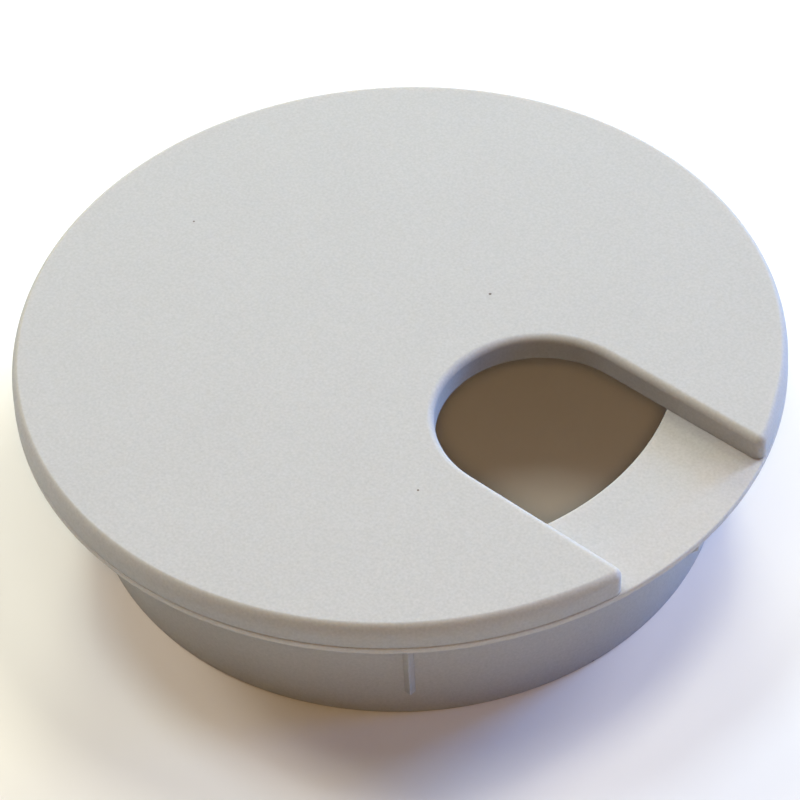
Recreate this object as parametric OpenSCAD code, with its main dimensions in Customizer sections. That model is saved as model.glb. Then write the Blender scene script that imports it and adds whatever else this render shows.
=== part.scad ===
// Desk grommet: a round liner that sits in a hole through a desk top, and a turning cap with a cable slot.
// +Z points up out of the desk top; the origin is the centre of the liner's foot; the slot runs out along +X.

/* [Liner] */
// diameter of the flange that rests on the desk top
flange_d = 90; // [88:0.5:94]
// thickness of the flange at its rim
flange_t = 0.75; // [0.75:0.05:1.2]
// radius of the round on the flange's upper rim
flange_round = 0.65; // [0.2:0.05:0.7]
// height of the flange's upper face above the liner's foot
liner_h = 20.1; // [16.1:0.5:30.1]
// outer diameter of the sleeve just under the flange
sleeve_top_d = 78.4; // [77.5:0.1:79]
// outer diameter of the sleeve at its foot
sleeve_foot_d = 75.8; // [75.4:0.1:77.4]
// inner diameter of the sleeve just under the ledge
bore_top_d = 72.2; // [71:0.1:72.4]
// inner diameter of the sleeve at its foot
bore_foot_d = 72.6; // [72.4:0.1:73]
// diameter of the round opening in the ledge under the cap
ledge_bore_d = 64.7; // [60.2:0.5:67.7]
// thickness of the ledge under the cap
ledge_t = 1.8; // [1.4:0.1:2.4]

/* [Grip ribs] */
// number of upright grip ribs round the sleeve
rib_count = 6; // [3:1:12]
// width of a rib where it meets the sleeve
rib_w = 1.8; // [1:0.1:2.5]
// height of a rib's crest above the sleeve
rib_proud = 0.75; // [0.4:0.05:1.2]
// height of a rib's lower end above the foot
rib_foot_z = 4; // [2:0.5:8]
// direction of the first rib, measured from the slot
rib_turn = -47; // [-90:1:90]

/* [Cap] */
// diameter of the cap
cap_d = 89.8; // [86:0.1:90]
// thickness of the cap's plate
cap_t = 3.15; // [2.4:0.05:4]
// radius of the round on the cap's upper rim
cap_round = 1.5; // [0.4:0.1:1.8]
// running gap between the liner's upper face and the cap
cap_gap = 0.1; // [0.1:0.05:0.6]

/* [Cable slot] */
// width of the slot
slot_w = 23.9; // [13.9:0.5:29.9]
// distance from the axis to the centre of the slot's round end
slot_centre = 21.5; // [18:0.5:28]
// radius of the round on the slot's upper edge
slot_round = 0.9; // [0.4:0.1:1.4]
// radius of the upright round where the slot's wall meets the rim
corner_round = 1; // [0.4:0.1:1.5]

/* [Snap tongues] */
// turn between one tongue and the next
tongue_step = 100; // [80:1:110]
// arc taken up by a tongue
tongue_arc = 32; // [20:1:40]
// thickness of a tongue
tongue_t = 1.5; // [1:0.1:2]
// depth of a tongue below the cap's plate
tongue_depth = 5.1; // [4.8:0.1:7]
// radial play between a tongue and the ledge's bore
tongue_play = 0.3; // [0.2:0.05:0.5]
// reach of a tongue's bead past its outer face
bead_reach = 0.9; // [0.6:0.05:1.2]

/* [Hidden] */
$fn = 96;
over = 1;
flange_r = flange_d / 2;
flange_z = liner_h - flange_t;
ledge_z = liner_h - ledge_t;
ledge_bore_r = ledge_bore_d / 2;
sleeve_top_r = sleeve_top_d / 2;
sleeve_foot_r = sleeve_foot_d / 2;
bore_top_r = bore_top_d / 2;
bore_foot_r = bore_foot_d / 2;
bore_flare = (bore_foot_r - bore_top_r) / ledge_z;
sleeve_lean = atan((sleeve_top_r - sleeve_foot_r) / flange_z);
rib_root = 0.6;
cap_z = liner_h + cap_gap;
cap_top = cap_z + cap_t;
cap_r = cap_d / 2;
slot_r = slot_w / 2;
corner_y = slot_r + corner_round;
corner_x = sqrt(pow(cap_r - corner_round, 2) - pow(corner_y, 2));
corner_turn = atan(corner_y / corner_x);
tongue_r = ledge_bore_r - tongue_play;
tongue_end = cap_z - tongue_depth;
tongue_lead = 0.5;
bead_play = 0.3;
bead_z = ledge_z - bead_play;
bead_slope = 0.3;
bead_face = 0.4;

module rounded_disc(r, t, edge) {
  rotate_extrude()
    intersection() {
      square([r, t]);
      union() {
        square([r - edge, t]);
        square([r, t - edge]);
        translate([r - edge, t - edge])
          circle(r = edge);
      }
    }
}

module sleeve_wall() {
  cylinder(h = flange_z, r1 = sleeve_foot_r, r2 = sleeve_top_r);
}

module grip_rib() {
  translate([sleeve_foot_r, 0, 0])
    rotate([0, sleeve_lean, 0])
      translate([0, 0, rib_foot_z])
        linear_extrude(height = flange_z - rib_foot_z + flange_t / 2)
          polygon([
            [-rib_root, -rib_w / 2],
            [0, -rib_w / 2],
            [rib_proud, 0],
            [0, rib_w / 2],
            [-rib_root, rib_w / 2]
          ]);
}

module liner() {
  color([0.80, 0.80, 0.79])
    difference() {
      union() {
        translate([0, 0, flange_z])
          rounded_disc(flange_r, flange_t, flange_round);
        sleeve_wall();
        for (i = [0 : rib_count - 1])
          rotate([0, 0, rib_turn + i * 360 / rib_count])
            grip_rib();
      }
      translate([0, 0, ledge_z - over])
        cylinder(h = ledge_t + 2 * over, r = ledge_bore_r);
      translate([0, 0, -over])
        cylinder(h = ledge_z + over, r1 = bore_foot_r + over * bore_flare, r2 = bore_top_r);
    }
}

module slot_shape(r, h) {
  translate([slot_centre, 0, 0])
    cylinder(h = h, r = r);
  translate([slot_centre, -r, 0])
    cube([cap_r - slot_centre + over, 2 * r, h]);
}

module slot_edge_roll() {
  translate([slot_centre, 0, 0])
    rotate([0, 0, 90])
      rotate_extrude(angle = 180)
        translate([slot_r + slot_round, 0])
          circle(r = slot_round);
  for (side = [-1, 1])
    translate([slot_centre, side * (slot_r + slot_round), 0])
      rotate([0, 90, 0])
        cylinder(h = cap_r - slot_centre + 2 * over, r = slot_round);
}

module cable_slot() {
  translate([0, 0, cap_z - over])
    slot_shape(slot_r, cap_t + 2 * over);
  difference() {
    translate([0, 0, cap_top - slot_round])
      slot_shape(slot_r + slot_round, slot_round + over);
    translate([0, 0, cap_top - slot_round])
      slot_edge_roll();
  }
}

module slot_corner() {
  difference() {
    translate([0, 0, cap_z - over])
      linear_extrude(height = cap_t + 2 * over)
        polygon([
          [corner_x, corner_y],
          [corner_x, slot_r - over],
          [cap_r + over, slot_r - over],
          [(cap_r + over) * cos(corner_turn), (cap_r + over) * sin(corner_turn)]
        ]);
    translate([corner_x, corner_y, cap_z - 2 * over])
      cylinder(h = cap_t + 4 * over, r = corner_round);
  }
}

module snap_tongue() {
  rotate([0, 0, -tongue_arc / 2])
    rotate_extrude(angle = tongue_arc)
      polygon([
        [tongue_r - tongue_t, cap_z + cap_t / 2],
        [tongue_r - tongue_t, tongue_end],
        [tongue_r - tongue_lead, tongue_end],
        [tongue_r + bead_reach, bead_z - bead_slope - bead_face],
        [tongue_r + bead_reach, bead_z - bead_slope],
        [tongue_r, bead_z],
        [tongue_r, cap_z + cap_t / 2]
      ]);
}

module cap() {
  color([0.82, 0.82, 0.81])
    union() {
      difference() {
        translate([0, 0, cap_z])
          rounded_disc(cap_r, cap_t, cap_round);
        cable_slot();
        slot_corner();
        mirror([0, 1, 0])
          slot_corner();
      }
      for (i = [-1 : 1])
        rotate([0, 0, 180 + i * tongue_step])
          snap_tongue();
    }
}

liner();
cap();
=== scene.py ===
"""Looks for a desk grommet: a light-grey liner with a round flange, and a turning cap with a cable slot."""

import logging
import math
from collections.abc import Callable, Iterable
from dataclasses import dataclass, field
from enum import Enum

import bmesh
import bpy
from mathutils import Matrix, Vector

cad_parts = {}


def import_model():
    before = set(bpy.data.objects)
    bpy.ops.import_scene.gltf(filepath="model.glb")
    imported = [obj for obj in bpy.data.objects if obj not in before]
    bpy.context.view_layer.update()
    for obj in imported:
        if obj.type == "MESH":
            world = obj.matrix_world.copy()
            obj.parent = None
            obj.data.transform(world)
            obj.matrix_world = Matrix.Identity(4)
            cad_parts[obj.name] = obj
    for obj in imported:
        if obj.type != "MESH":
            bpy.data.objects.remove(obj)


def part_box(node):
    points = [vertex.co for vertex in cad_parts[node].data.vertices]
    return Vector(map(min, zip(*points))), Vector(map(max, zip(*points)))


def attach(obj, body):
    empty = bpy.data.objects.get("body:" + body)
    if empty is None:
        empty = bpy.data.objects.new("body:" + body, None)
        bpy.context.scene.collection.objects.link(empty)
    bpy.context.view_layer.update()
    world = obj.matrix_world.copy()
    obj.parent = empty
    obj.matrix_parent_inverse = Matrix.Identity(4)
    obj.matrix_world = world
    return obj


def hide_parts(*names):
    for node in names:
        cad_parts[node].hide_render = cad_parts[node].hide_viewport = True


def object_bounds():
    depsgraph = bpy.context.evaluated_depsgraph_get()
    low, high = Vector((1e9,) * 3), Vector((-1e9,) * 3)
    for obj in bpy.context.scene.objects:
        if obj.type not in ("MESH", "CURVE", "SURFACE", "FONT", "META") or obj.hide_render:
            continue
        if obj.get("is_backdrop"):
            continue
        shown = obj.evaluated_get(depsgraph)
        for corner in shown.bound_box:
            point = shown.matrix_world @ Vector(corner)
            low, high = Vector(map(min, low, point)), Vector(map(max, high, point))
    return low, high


MM = 0.001
FULL_TURN = 360.0
TURN_STEPS = 256
# two points nearer than this are one point
SAME_PLACE = 1e-6
# a point nearer to a ring than this lies on it
NEAR_RING = 1e-5
# faces that meet at fewer degrees than this are shaded as one
SMOOTH_ANGLE = 28.0
Point = tuple[float, float]
LOG = logging.getLogger("desk_grommet")


class MaterialSlot(Enum):
    """The record's material slots, one for each moulding."""

    LINER = "liner_plastic"
    CAP = "cap_plastic"


class Bench:
    """The work steps that every piece shares: select, edit, trace, turn, join and finish."""

    @staticmethod
    def clear() -> None:
        """Leaves edit mode and deselects everything."""
        if bpy.context.mode != "OBJECT":
            bpy.ops.object.mode_set(mode="OBJECT")
        bpy.ops.object.select_all(action="DESELECT")

    @staticmethod
    def take(obj: bpy.types.Object) -> None:
        """Makes one object the only selected and active one.

        Args:
            obj: the object to work on.
        """
        Bench.clear()
        obj.select_set(True)
        bpy.context.view_layer.objects.active = obj

    @staticmethod
    def pick_vertices(obj: bpy.types.Object, test: Callable[[Vector], bool]) -> None:
        """Selects, in edit mode, the vertices that pass a test on their place.

        Args:
            obj: the object in edit mode.
            test: takes a vertex's place and says whether it is wanted.
        """
        mesh = bmesh.from_edit_mesh(obj.data)
        bpy.ops.mesh.select_mode(type="VERT")
        bpy.ops.mesh.select_all(action="DESELECT")
        for vertex in mesh.verts:
            if test(vertex.co):
                vertex.select = True
        mesh.select_flush(True)
        bmesh.update_edit_mesh(obj.data)

    @staticmethod
    def pick_edges(obj: bpy.types.Object, test: Callable[[Vector, Vector], bool]) -> None:
        """Selects, in edit mode, the edges that pass a test on their two ends.

        Args:
            obj: the object in edit mode.
            test: takes the places of both ends and says whether the edge is wanted.
        """
        mesh = bmesh.from_edit_mesh(obj.data)
        bpy.ops.mesh.select_mode(type="EDGE")
        bpy.ops.mesh.select_all(action="DESELECT")
        for edge in mesh.edges:
            if test(edge.verts[0].co, edge.verts[1].co):
                edge.select = True
        bmesh.update_edit_mesh(obj.data)

    @staticmethod
    def draw_loop(obj: bpy.types.Object, corners: list[Vector]) -> None:
        """Draws a closed loop of edges, in edit mode.

        Args:
            obj: the object in edit mode.
            corners: the loop's corners, in order.
        """
        bpy.ops.mesh.select_mode(type="VERT")
        # a small plane, shrunk to one point, is the first corner
        bpy.ops.mesh.primitive_plane_add(size=MM, location=corners[0])
        bpy.ops.mesh.merge(type="CENTER")
        for here, there in zip(corners, corners[1:]):
            bpy.ops.mesh.extrude_region_move(TRANSFORM_OT_translate={"value": there - here})
        ends = (corners[0], corners[-1])
        Bench.pick_vertices(obj, lambda p: min((p - end).length for end in ends) < SAME_PLACE)
        bpy.ops.mesh.edge_face_add()

    @staticmethod
    def trace(name: str, corners: list[Vector]) -> bpy.types.Object:
        """Draws a closed flat outline as one face.

        Args:
            name: the new object's name.
            corners: the outline's corners, in order.

        Returns:
            The new object, left in edit mode with its face selected.
        """
        Bench.clear()
        bpy.ops.mesh.primitive_plane_add(size=MM)
        obj = bpy.context.active_object
        obj.name = name
        bpy.ops.object.mode_set(mode="EDIT")
        bpy.ops.mesh.delete(type="VERT")
        Bench.draw_loop(obj, corners)
        bpy.ops.mesh.select_all(action="SELECT")
        bpy.ops.mesh.edge_face_add()
        return obj

    @staticmethod
    def loft(name: str, rings: list[list[Vector]]) -> bpy.types.Object:
        """Builds a closed solid through closed loops that lie one above the other.

        Args:
            name: the new object's name.
            rings: the loops from the lowest up, all with as many corners.

        Returns:
            The new object, in object mode.
        """
        obj = Bench.trace(name, rings[0])
        for ring in rings[1:]:
            Bench.draw_loop(obj, ring)
            bpy.ops.mesh.select_all(action="DESELECT")
            bpy.ops.mesh.select_non_manifold(
                use_multi_face=False, use_non_contiguous=False, use_verts=False
            )
            bpy.ops.mesh.bridge_edge_loops()
        bpy.ops.mesh.select_all(action="DESELECT")
        bpy.ops.mesh.select_non_manifold()
        bpy.ops.mesh.edge_face_add()
        bpy.ops.mesh.select_all(action="SELECT")
        bpy.ops.mesh.normals_make_consistent(inside=False)
        bpy.ops.object.mode_set(mode="OBJECT")
        return obj

    @staticmethod
    def turn(
        name: str, outline: Iterable[Point], degrees: float = FULL_TURN, steps: int = TURN_STEPS
    ) -> bpy.types.Object:
        """Turns a closed outline round the upright axis into a solid.

        Args:
            name: the new object's name.
            outline: the corners as (distance from the axis, height), in order.
            degrees: how far to turn; a full turn closes on itself.
            steps: how many stretches the turn has.

        Returns:
            The new object, in object mode, starting at +X.
        """
        obj = Bench.trace(name, [Vector((r, 0.0, z)) for r, z in outline])
        if degrees >= FULL_TURN:
            bpy.ops.mesh.delete(type="ONLY_FACE")
            bpy.ops.mesh.select_all(action="SELECT")
        bpy.ops.mesh.spin(
            steps=steps, angle=math.radians(degrees), center=(0, 0, 0), axis=(0, 0, 1)
        )
        bpy.ops.mesh.select_all(action="SELECT")
        bpy.ops.mesh.remove_doubles(threshold=SAME_PLACE)
        bpy.ops.mesh.normals_make_consistent(inside=False)
        bpy.ops.object.mode_set(mode="OBJECT")
        return obj

    @staticmethod
    def round_edges(
        obj: bpy.types.Object,
        test: Callable[[Vector, Vector], bool],
        radius: float,
        segments: int,
    ) -> None:
        """Rounds the edges that pass a test.

        Args:
            obj: the object to work on.
            test: takes the places of both ends and says whether the edge is wanted.
            radius: radius of the round.
            segments: flats that make the round.
        """
        Bench.take(obj)
        bpy.ops.object.mode_set(mode="EDIT")
        Bench.pick_edges(obj, test)
        bpy.ops.mesh.bevel(offset=radius, segments=segments, affect="EDGES")
        bpy.ops.object.mode_set(mode="OBJECT")

    @staticmethod
    def join(objects: list[bpy.types.Object]) -> bpy.types.Object:
        """Joins objects into the first of them.

        Args:
            objects: the objects, which lie apart.

        Returns:
            The first object, now holding all.
        """
        Bench.take(objects[0])
        for other in objects:
            other.select_set(True)
        bpy.ops.object.join()
        return objects[0]

    @staticmethod
    def copy_turned(obj: bpy.types.Object, degrees: float) -> bpy.types.Object:
        """Copies a piece with its own mesh and turns the copy round the upright axis.

        Args:
            obj: the piece to copy.
            degrees: how far round the copy goes.

        Returns:
            The copy, with its place in its mesh.
        """
        copy = obj.copy()
        copy.data = obj.data.copy()
        bpy.context.scene.collection.objects.link(copy)
        copy.rotation_euler = (0, 0, math.radians(degrees))
        Bench.take(copy)
        bpy.ops.object.transform_apply(location=True, rotation=True, scale=True)
        return copy

    @staticmethod
    def fuse(body: bpy.types.Object, extra: bpy.types.Object) -> None:
        """Makes a body and the solids rooted in it one solid.

        Args:
            body: the solid that grows.
            extra: the solids that it takes up; their object is removed.
        """
        Bench.take(body)
        step = body.modifiers.new("fuse", "BOOLEAN")
        step.operation = "UNION"
        step.object = extra
        step.solver = "EXACT"
        bpy.ops.object.modifier_apply(modifier=step.name)
        bpy.data.objects.remove(extra)

    @staticmethod
    def finish(
        obj: bpy.types.Object, body: str, node: str, slot: MaterialSlot
    ) -> bpy.types.Object:
        """Smooths a finished piece and hands it to the frame.

        Args:
            obj: the finished piece.
            body: the CAD body it rides on.
            node: the CAD node it stands for.
            slot: the record's material slot; not used.

        Returns:
            The same piece.
        """
        Bench.take(obj)
        bpy.ops.object.shade_smooth_by_angle(
            angle=math.radians(SMOOTH_ANGLE), keep_sharp_edges=False
        )
        level = obj.modifiers.new("level_faces", "WEIGHTED_NORMAL")
        level.keep_sharp = True
        bpy.ops.object.modifier_apply(modifier=level.name)
        Bench.clear()
        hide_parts(node)
        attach(obj, body)
        return obj


@dataclass(frozen=True)
class GrainedPlastic:
    """Matte moulded plastic with a fine etched grain and a few dark specks."""

    slot: MaterialSlot
    color: tuple[float, float, float] = (0.40, 0.40, 0.40)
    roughness: float = 0.72
    gloss: float = 0.3
    depth: float = 3.0 * MM
    depth_share: float = 0.3
    depth_tint: tuple[float, float, float] = (1.0, 0.7, 0.45)
    cloud_scale: float = 90.0
    cloud_detail: float = 4.0
    cloud_reach: float = 0.02
    pore_scale: float = 3200.0
    pore_detail: float = 1.0
    pore_reach: float = 0.13
    speck_scale: float = 220.0
    speck_size: float = 0.045
    speck_share: float = 0.12
    speck_color: tuple[float, float, float, float] = (0.12, 0.10, 0.09, 1.0)
    grain_scale: float = 5200.0
    grain_detail: float = 2.0
    grain_depth: float = 0.010 * MM
    grain_strength: float = 0.5

    @staticmethod
    def noise(
        tree: bpy.types.NodeTree, place: bpy.types.NodeSocket, scale: float, detail: float
    ) -> bpy.types.NodeSocket:
        """Adds a noise over the piece.

        Args:
            tree: the material's nodes.
            place: where on the piece the noise is read.
            scale: how fine it is.
            detail: how many finer layers it has.

        Returns:
            The noise, from 0 to 1.
        """
        node = tree.nodes.new("ShaderNodeTexNoise")
        node.inputs["Scale"].default_value = scale
        node.inputs["Detail"].default_value = detail
        tree.links.new(place, node.inputs["Vector"])
        return node.outputs["Fac"]

    @staticmethod
    def around_one(
        tree: bpy.types.NodeTree, value: bpy.types.NodeSocket, reach: float
    ) -> bpy.types.NodeSocket:
        """Spreads a value from 0 to 1 evenly about 1.

        Args:
            tree: the material's nodes.
            value: the value to spread.
            reach: how far it goes to each side of 1.

        Returns:
            The spread value.
        """
        node = tree.nodes.new("ShaderNodeMapRange")
        node.inputs["To Min"].default_value = 1.0 - reach
        node.inputs["To Max"].default_value = 1.0 + reach
        tree.links.new(value, node.inputs["Value"])
        return node.outputs["Result"]

    @staticmethod
    def reckon(
        tree: bpy.types.NodeTree,
        operation: str,
        first: bpy.types.NodeSocket,
        second: bpy.types.NodeSocket | float,
    ) -> bpy.types.NodeSocket:
        """Adds one step of reckoning.

        Args:
            tree: the material's nodes.
            operation: the math node's operation.
            first: its first value.
            second: its second value, linked or plain.

        Returns:
            The result.
        """
        node = tree.nodes.new("ShaderNodeMath")
        node.operation = operation
        tree.links.new(first, node.inputs[0])
        if isinstance(second, float):
            node.inputs[1].default_value = second
        else:
            tree.links.new(second, node.inputs[1])
        return node.outputs["Value"]

    def tint(
        self, tree: bpy.types.NodeTree, place: bpy.types.NodeSocket
    ) -> bpy.types.NodeSocket:
        """Makes the plastic's colour, with its soft clouds and fine pores.

        Args:
            tree: the material's nodes.
            place: where on the piece the colour is read.

        Returns:
            The colour.
        """
        cloud = self.noise(tree, place, self.cloud_scale, self.cloud_detail)
        pores = self.noise(tree, place, self.pore_scale, self.pore_detail)
        shade = self.reckon(
            tree,
            "MULTIPLY",
            self.around_one(tree, cloud, self.cloud_reach),
            self.around_one(tree, pores, self.pore_reach),
        )
        base = tree.nodes.new("ShaderNodeVectorMath")
        base.operation = "SCALE"
        base.inputs[0].default_value = self.color
        tree.links.new(shade, base.inputs["Scale"])
        return base.outputs["Vector"]

    def specks(
        self, tree: bpy.types.NodeTree, place: bpy.types.NodeSocket
    ) -> bpy.types.NodeSocket:
        """Scatters a few small specks.

        Args:
            tree: the material's nodes.
            place: where on the piece the specks are read.

        Returns:
            1 on a speck and 0 elsewhere.
        """
        cells = tree.nodes.new("ShaderNodeTexVoronoi")
        cells.inputs["Scale"].default_value = self.speck_scale
        tree.links.new(place, cells.inputs["Vector"])
        lot = tree.nodes.new("ShaderNodeSeparateColor")
        tree.links.new(cells.outputs["Color"], lot.inputs["Color"])
        near = self.reckon(tree, "LESS_THAN", cells.outputs["Distance"], self.speck_size)
        chosen = self.reckon(tree, "LESS_THAN", lot.outputs["Red"], self.speck_share)
        return self.reckon(tree, "MULTIPLY", near, chosen)

    def build(self) -> bpy.types.Material:
        """Makes the material.

        Returns:
            The new material.
        """
        material = bpy.data.materials.new(self.slot.value)
        material.use_nodes = True
        tree = material.node_tree
        nodes, links = tree.nodes, tree.links
        shader = nodes["Principled BSDF"]
        shader.inputs["Roughness"].default_value = self.roughness
        shader.inputs["Specular IOR Level"].default_value = self.gloss
        shader.inputs["Subsurface Weight"].default_value = self.depth_share
        shader.inputs["Subsurface Radius"].default_value = self.depth_tint
        shader.inputs["Subsurface Scale"].default_value = self.depth
        place = nodes.new("ShaderNodeTexCoord").outputs["Object"]

        mix = nodes.new("ShaderNodeMix")
        mix.data_type = "RGBA"
        mix.inputs["B"].default_value = self.speck_color
        links.new(self.specks(tree, place), mix.inputs["Factor"])
        links.new(self.tint(tree, place), mix.inputs["A"])
        links.new(mix.outputs["Result"], shader.inputs["Base Color"])

        bump = nodes.new("ShaderNodeBump")
        bump.inputs["Strength"].default_value = self.grain_strength
        bump.inputs["Distance"].default_value = self.grain_depth
        grain = self.noise(tree, place, self.grain_scale, self.grain_detail)
        links.new(grain, bump.inputs["Height"])
        links.new(bump.outputs["Normal"], shader.inputs["Normal"])
        return material


@dataclass
class Liner:
    """The fixed moulding: flange, ledge, tapered sleeve and upright grip ribs."""

    flange_t: float = 0.75 * MM
    flange_round: float = 0.2 * MM
    ledge_bore_r: float = 32.35 * MM
    ledge_t: float = 1.8 * MM
    sleeve_top_r: float = 39.2 * MM
    sleeve_foot_r: float = 37.9 * MM
    bore_top_r: float = 36.1 * MM
    bore_foot_r: float = 36.3 * MM
    rib_count: int = 6
    rib_w: float = 2.2 * MM
    rib_proud: float = 0.75 * MM
    rib_root: float = 0.6 * MM
    rib_foot_z: float = 4.0 * MM
    rib_foot_slope: float = 0.6
    rib_turn: float = -47.2
    flange_break: float = 0.05 * MM
    ledge_break: float = 0.12 * MM
    foot_round: float = 0.3 * MM
    bore_round: float = 0.4 * MM
    root_round: float = 0.3 * MM
    rim_steps: int = 6
    round_steps: int = 3
    break_steps: int = 2
    flange_r: float = field(init=False)
    top_z: float = field(init=False)

    def __post_init__(self) -> None:
        """Takes the outer size from the frame."""
        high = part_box("liner")[1]
        self.flange_r = high.x
        self.top_z = high.z

    @property
    def flange_z(self) -> float:
        """Height of the flange's underside."""
        return self.top_z - self.flange_t

    @property
    def ledge_z(self) -> float:
        """Height of the ledge's underside."""
        return self.top_z - self.ledge_t

    def outline(self) -> list[Point]:
        """Corners of the wall that is turned round the axis.

        Returns:
            The corners as (distance from the axis, height), in order.
        """
        return [
            (self.bore_foot_r, 0.0),
            (self.bore_top_r, self.ledge_z),
            (self.ledge_bore_r, self.ledge_z),
            (self.ledge_bore_r, self.top_z),
            (self.flange_r, self.top_z),
            (self.flange_r, self.flange_z),
            (self.sleeve_top_r, self.flange_z),
            (self.sleeve_foot_r, 0.0),
        ]

    def rib(self) -> bpy.types.Object:
        """Models one grip rib at +X.

        Returns:
            The rib, a closed wedge rooted in the sleeve.
        """
        height = self.flange_z + self.flange_t / 2 - self.rib_foot_z
        lean = (self.sleeve_top_r - self.sleeve_foot_r) / self.flange_z
        foot_x = self.sleeve_foot_r + lean * self.rib_foot_z
        depth = self.rib_root + self.rib_proud
        Bench.clear()
        bpy.ops.mesh.primitive_cube_add(
            size=1.0,
            location=(foot_x + depth / 2 - self.rib_root, 0, self.rib_foot_z + height / 2),
            scale=(depth, self.rib_w, height),
        )
        rib = bpy.context.active_object
        rib.name = "grip_rib"
        bpy.ops.object.transform_apply(location=True, rotation=True, scale=True)
        bpy.ops.object.mode_set(mode="EDIT")
        crest_x = foot_x + self.rib_proud
        Bench.pick_vertices(rib, lambda p: abs(p.x - crest_x) < SAME_PLACE)
        bpy.ops.transform.resize(value=(1, 0, 1))
        bpy.ops.mesh.remove_doubles(threshold=SAME_PLACE)
        Bench.pick_vertices(rib, lambda p: p.z > self.rib_foot_z + height / 2)
        bpy.ops.transform.translate(value=(lean * height, 0, 0))
        Bench.pick_vertices(rib, lambda p: abs(p.x - crest_x) < SAME_PLACE)
        bpy.ops.transform.translate(value=(0, 0, self.rib_proud * self.rib_foot_slope))
        bpy.ops.mesh.select_all(action="SELECT")
        bpy.ops.mesh.normals_make_consistent(inside=False)
        bpy.ops.object.mode_set(mode="OBJECT")
        return rib

    def ring(self, radius: float, height: float) -> Callable[[Vector, Vector], bool]:
        """Makes a test for the edges of one ring.

        Args:
            radius: the ring's radius.
            height: the ring's height.

        Returns:
            The test, for Bench.round_edges.
        """

        def on_ring(a: Vector, b: Vector) -> bool:
            """Says whether both ends lie on the ring."""
            return all(
                abs(p.z - height) < NEAR_RING
                and abs(math.hypot(p.x, p.y) - radius) < NEAR_RING
                for p in (a, b)
            )

        return on_ring

    def build(self) -> bpy.types.Object:
        """Models the whole moulding.

        Returns:
            The finished mesh object.
        """
        liner = Bench.turn("grommet_liner", self.outline())
        rounds = [
            (self.flange_r, self.top_z, self.flange_round, self.rim_steps),
            (self.flange_r, self.flange_z, self.flange_break, self.break_steps),
            (self.ledge_bore_r, self.top_z, self.ledge_break, self.break_steps),
            (self.ledge_bore_r, self.ledge_z, self.ledge_break, self.break_steps),
            (self.sleeve_foot_r, 0.0, self.foot_round, self.round_steps),
            (self.bore_foot_r, 0.0, self.foot_round, self.round_steps),
            (self.bore_top_r, self.ledge_z, self.bore_round, self.round_steps),
            (self.sleeve_top_r, self.flange_z, self.root_round, self.round_steps),
        ]
        for radius, height, size, segments in rounds:
            Bench.round_edges(liner, self.ring(radius, height), size, segments)
        first = self.rib()
        ribs = [
            Bench.copy_turned(first, self.rib_turn + i * FULL_TURN / self.rib_count)
            for i in range(self.rib_count)
        ]
        bpy.data.objects.remove(first)
        Bench.fuse(liner, Bench.join(ribs))
        return Bench.finish(liner, "liner", "liner", MaterialSlot.LINER)

    def dress(self, obj: bpy.types.Object) -> None:
        """Gives the moulding its plastic."""
        obj.data.materials.clear()
        obj.data.materials.append(GrainedPlastic(MaterialSlot.LINER).build())


@dataclass(frozen=True)
class EdgePoint:
    """A point of the cap plate's outline, the way in from it, and how far the upper round goes."""

    place: Vector
    inward: Vector
    reach: float
    drop: float

    def at(self, inset: float, height: float) -> Vector:
        """Moves the point in from the edge and up to a height."""
        return self.place + self.inward * inset + Vector((0.0, 0.0, height))


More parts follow.
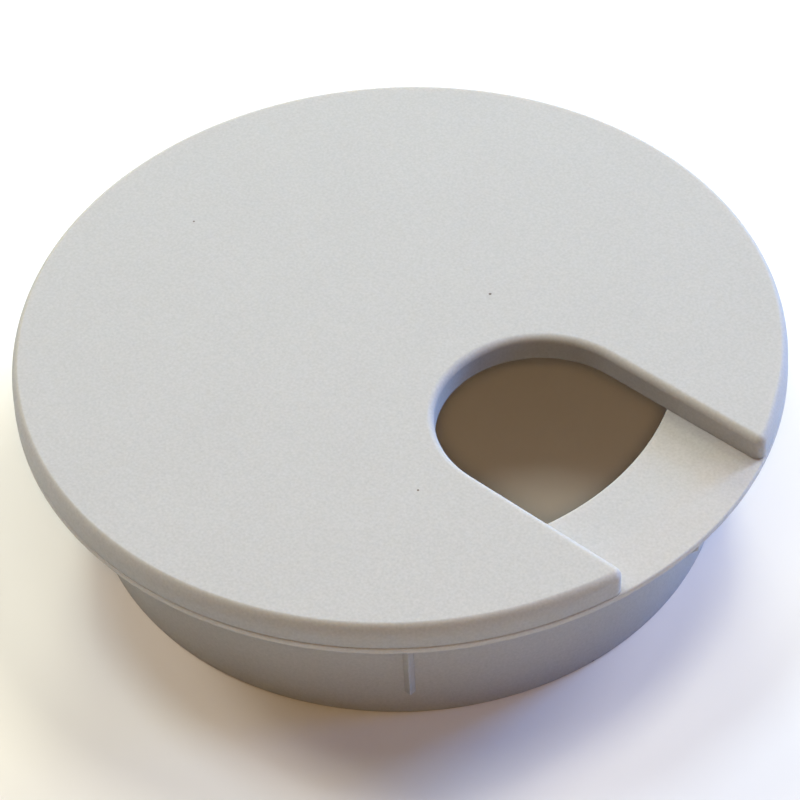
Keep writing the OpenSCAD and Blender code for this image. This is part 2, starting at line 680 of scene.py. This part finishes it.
@dataclass
class Cap:
    """The turning moulding: a flat round plate with a cable slot, and snap tongues below it."""

    rim_reach: float = 0.95 * MM
    rim_drop: float = 2.0 * MM
    slot_r: float = 11.95 * MM
    slot_x: float = 21.5 * MM
    slot_round: float = 0.9 * MM
    corner_round: float = 1.0 * MM
    blend_arc: float = 8.0
    plate_t: float = 3.235 * MM
    # at 0.02 mm the plate is lost when the tongues are fused to it
    edge_break: float = 0.04 * MM
    tongue_step: float = 100.0
    tongue_arc: float = 32.0
    tongue_r: float = 32.05 * MM
    tongue_t: float = 1.5 * MM
    bead_reach: float = 0.9 * MM
    bead_top: float = 2.2 * MM
    bead_slope: float = 0.3 * MM
    bead_face: float = 0.4 * MM
    tongue_lead: float = 0.5 * MM
    tongue_steps: int = 24
    rim_steps: int = 240
    slot_steps: int = 96
    corner_steps: int = 8
    round_steps: int = 10
    break_steps: int = 2
    plate_r: float = field(init=False)
    top_z: float = field(init=False)
    tongue_end: float = field(init=False)

    def __post_init__(self) -> None:
        """Takes the outer size and heights from the frame."""
        low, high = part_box("cap")
        self.plate_r = high.y
        self.top_z = high.z
        self.tongue_end = low.z

    @property
    def under_z(self) -> float:
        """Height of the plate's underside."""
        return self.top_z - self.plate_t

    @property
    def corner(self) -> Vector:
        """Centre of the upright round where the slot's wall meets the rim, on the +Y side."""
        y = self.slot_r + self.corner_round
        return Vector((math.sqrt((self.plate_r - self.corner_round) ** 2 - y**2), y, 0.0))

    @property
    def corner_turn(self) -> float:
        """Direction of that centre from the axis, in degrees."""
        return math.degrees(math.atan2(self.corner.y, self.corner.x))

    def edge_run(
        self, centre: Vector, radius: float, start: float, end: float, steps: int
    ) -> list[EdgePoint]:
        """Lays points of the plate's outline along an arc.

        Args:
            centre: the arc's centre.
            radius: its radius; negative where the plate lies outside the arc.
            start: direction of its first point from the centre, in degrees.
            end: direction of its last point, in degrees.
            steps: how many stretches it has.

        Returns:
            The points, both ends included.
        """
        turns = [math.radians(start + (end - start) * i / steps) for i in range(steps + 1)]
        ways = [Vector((math.cos(t), math.sin(t), 0.0)) for t in turns]
        points = [(centre + way * abs(radius), way * -math.copysign(1.0, radius)) for way in ways]
        return [EdgePoint(place, inward, *self.round_at(place)) for place, inward in points]

    def outline(self) -> list[EdgePoint]:
        """Lays out the plate's outline: rim, corner, slot and corner.

        Returns:
            The outline's points, once round.
        """
        turn, near = self.corner_turn, self.corner
        far = Vector((near.x, -near.y, 0.0))
        bend = Vector((self.slot_x, 0.0, 0.0))
        return [
            *self.edge_run(Vector(), self.plate_r, turn, FULL_TURN - turn, self.rim_steps),
            *self.edge_run(far, self.corner_round, -turn, 90.0, self.corner_steps)[1:],
            *self.edge_run(bend, -self.slot_r, -90.0, -270.0, self.slot_steps),
            *self.edge_run(near, self.corner_round, -90.0, turn, self.corner_steps)[:-1],
        ]

    def round_at(self, place: Vector) -> tuple[float, float]:
        """Says how far the upper round goes at a place on the plate's outline.

        Args:
            place: a point on the outline.

        Returns:
            How far in and how far down, from the slot's round up to the rim's.
        """
        if place.length < self.plate_r - NEAR_RING:
            return self.slot_round, self.slot_round
        past = abs(math.degrees(math.atan2(place.y, place.x))) - self.corner_turn
        share = min(max(past / self.blend_arc, 0.0), 1.0)
        # eased, so that the round changes without a kink
        share = share**2 * (3.0 - 2.0 * share)
        return (
            self.slot_round + (self.rim_reach - self.slot_round) * share,
            self.slot_round + (self.rim_drop - self.slot_round) * share,
        )

    def plate(self) -> bpy.types.Object:
        """Models the plate with its slot, upper round and lower edge break.

        Returns:
            The plate, without its tongues.
        """
        outline = self.outline()
        rings = []
        for i in range(self.break_steps + 1):
            lean = math.radians(90.0 * i / self.break_steps)
            lift = self.under_z + self.edge_break * (1.0 - math.cos(lean))
            rings.append([p.at(self.edge_break * (1.0 - math.sin(lean)), lift) for p in outline])
        for i in range(self.round_steps + 1):
            lean = math.radians(90.0 * i / self.round_steps)
            inward, down = 1.0 - math.cos(lean), 1.0 - math.sin(lean)
            rings.append([p.at(p.reach * inward, self.top_z - p.drop * down) for p in outline])
        return Bench.loft("grommet_cap", rings)

    def tongue(self, turn: float) -> bpy.types.Object:
        """Models one snap tongue.

        Args:
            turn: direction of the tongue's middle, in degrees from the slot.

        Returns:
            The tongue, rooted in the plate.
        """
        bead = self.under_z - self.bead_top
        root = self.under_z + self.plate_t / 2
        outline = [
            (self.tongue_r - self.tongue_t, root),
            (self.tongue_r - self.tongue_t, self.tongue_end),
            (self.tongue_r - self.tongue_lead, self.tongue_end),
            (self.tongue_r + self.bead_reach, bead - self.bead_slope - self.bead_face),
            (self.tongue_r + self.bead_reach, bead - self.bead_slope),
            (self.tongue_r, bead),
            (self.tongue_r, root),
        ]
        blank = Bench.turn("snap_tongue", outline, self.tongue_arc, self.tongue_steps)
        points = [vertex.co for vertex in blank.data.vertices]
        middle = math.degrees(math.atan2(sum(p.y for p in points), sum(p.x for p in points)))
        tongue = Bench.copy_turned(blank, turn - middle)
        bpy.data.objects.remove(blank)
        return tongue

    def build(self) -> bpy.types.Object:
        """Models the whole moulding.

        Returns:
            The finished mesh object.
        """
        cap = self.plate()
        tongues = [self.tongue(180.0 + i * self.tongue_step) for i in (-1, 0, 1)]
        Bench.fuse(cap, Bench.join(tongues))
        return Bench.finish(cap, "cap", "cap", MaterialSlot.CAP)

    def dress(self, obj: bpy.types.Object) -> None:
        """Gives the moulding its plastic."""
        obj.data.materials.clear()
        obj.data.materials.append(GrainedPlastic(MaterialSlot.CAP).build())


@dataclass(frozen=True)
class Lamp:
    """One soft square lamp that faces the grommet."""

    name: str
    bearing: float
    height: float
    size: float
    watts: tuple[float, float, float]
    distance: float = 1.2

    def hang(self, azimuth: float) -> None:
        """Hangs the lamp.

        Args:
            azimuth: the camera's turn round the grommet, from which the bearing counts.
        """
        data = bpy.data.lights.new(self.name, "AREA")
        data.shape = "SQUARE"
        data.size = self.size
        data.energy = max(self.watts)
        data.color = [share / data.energy for share in self.watts]
        lamp = bpy.data.objects.new(self.name, data)
        bpy.context.scene.collection.objects.link(lamp)
        ground = math.radians(90.0 + azimuth - self.bearing)
        lift = math.radians(self.height)
        way = Vector(
            (math.cos(ground) * math.cos(lift), math.sin(ground) * math.cos(lift), math.sin(lift))
        )
        lamp.location = way * self.distance
        lamp.visible_camera = False
        lamp.rotation_euler = way.to_track_quat("Z", "Y").to_euler()


@dataclass
class Studio:
    """The pale floor, the soft lights and the camera."""

    azimuth: float = 44.2
    elevation: float = 45.61
    distance: float = 292.7 * MM
    aim_side: float = -0.235 * MM
    aim_near: float = -11.75 * MM
    roll: float = -3.265
    lens: float = 117.0
    sensor: float = 36.0
    near_clip: float = 10.0 * MM
    floor_size: float = 12.0
    floor_color: tuple[float, float, float, float] = (0.8, 0.8, 0.8, 1.0)
    floor_roughness: float = 0.9
    floor_gloss: float = 0.1
    lamps: tuple[Lamp, ...] = (
        Lamp("back_lamp", 0.0, 20.0, 0.3, (8.8, 8.8, 6.2)),
        Lamp("blue_lamp", 60.0, 20.0, 0.3, (2.2, 5.0, 11.4)),
        Lamp("side_lamp", 90.0, 20.0, 0.3, (0.5, 1.2, 3.3)),
        Lamp("left_lamp", -60.0, 40.0, 0.3, (5.8, 5.3, 4.6)),
        Lamp("right_lamp", 60.0, 40.0, 0.3, (4.9, 4.6, 4.6)),
        Lamp("high_left_lamp", -45.0, 62.0, 0.3, (3.0, 3.6, 4.0)),
        Lamp("high_right_lamp", 45.0, 62.0, 0.3, (4.3, 4.1, 3.2)),
        Lamp("top_lamp", 0.0, 88.0, 0.4, (2.2, 2.2, 1.9)),
        Lamp("front_lamp", 180.0, 47.0, 0.03, (0.225, 0.142, 0.070), 0.33),
    )

    def floor(self) -> None:
        """Lays the plain floor under the grommet and marks it as stage."""
        Bench.clear()
        bpy.ops.mesh.primitive_plane_add(size=self.floor_size, location=(0, 0, 0))
        floor = bpy.context.active_object
        floor.name = "floor"
        material = bpy.data.materials.new("floor_white")
        material.use_nodes = True
        shader = material.node_tree.nodes["Principled BSDF"]
        shader.inputs["Base Color"].default_value = self.floor_color
        shader.inputs["Roughness"].default_value = self.floor_roughness
        shader.inputs["Specular IOR Level"].default_value = self.floor_gloss
        floor.data.materials.append(material)
        floor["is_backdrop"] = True

    def facing(self) -> tuple[Vector, Vector, Vector]:
        """Works out the camera's directions.

        Returns:
            Its right, its up and its backward direction, before the roll.
        """
        turn = Matrix.Rotation(math.radians(self.azimuth), 3, "Z")
        tilt = math.radians(self.elevation)
        back = turn @ Vector((0, -math.cos(tilt), math.sin(tilt)))
        right = turn @ Vector((1, 0, 0))
        return right, back.cross(right), back

    def camera(self, aim_z: float) -> None:
        """Sets up the camera.

        Args:
            aim_z: height of the plane that the camera aims at.
        """
        right, up, back = self.facing()
        turn = Matrix.Rotation(math.radians(self.azimuth), 3, "Z")
        aim = turn @ Vector((self.aim_side, self.aim_near, 0)) + Vector((0, 0, aim_z))
        roll = math.radians(self.roll)
        side = right * math.cos(roll) + up * math.sin(roll)
        top = up * math.cos(roll) - right * math.sin(roll)
        data = bpy.data.cameras.new("camera")
        data.lens = self.lens
        data.sensor_width = self.sensor
        data.clip_start = self.near_clip
        camera = bpy.data.objects.new("camera", data)
        bpy.context.scene.collection.objects.link(camera)
        stand = Matrix.Translation(aim + back * self.distance)
        camera.matrix_world = stand @ Matrix((side, top, back)).transposed().to_4x4()
        bpy.context.scene.camera = camera

    def light(self) -> None:
        """Hangs the soft lamps in a room that gives no light of its own."""
        world = bpy.data.worlds.new("dark_room")
        bpy.context.scene.world = world
        world.use_nodes = True
        world.node_tree.nodes["Background"].inputs["Strength"].default_value = 0.0
        for lamp in self.lamps:
            lamp.hang(self.azimuth)
        bpy.context.scene.view_settings.view_transform = "Standard"

    def build(self, aim_z: float) -> None:
        """Builds the floor, the lights and the camera.

        Args:
            aim_z: height of the plane that the camera aims at.
        """
        self.floor()
        self.light()
        self.camera(aim_z)


def write_sizes(frame_box: object, look_box: object) -> None:
    """Sets the frame's box beside the dressed object's box, and keeps neither.

    Args:
        look_box: what it gives at the end.
    """
    {"cad": plain(frame_box), "visual": plain(look_box)}


def plain(value: object) -> object:
    """Turns nested vectors into nested lists of numbers."""
    return float(value) if isinstance(value, (int, float)) else [plain(v) for v in value]


def main() -> None:
    """Builds the grommet's pieces, then the studio round them."""
    logging.basicConfig(level=logging.INFO, format="%(message)s")
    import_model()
    frame_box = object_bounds()
    for maker in (Liner(), Cap()):
        piece = maker.build()
        maker.dress(piece)
        LOG.info("%s: %d faces", piece.name, len(piece.data.polygons))
    Studio().build(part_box("cap")[1].z)
    write_sizes(frame_box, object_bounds())


if __name__ == "__main__":
    main()
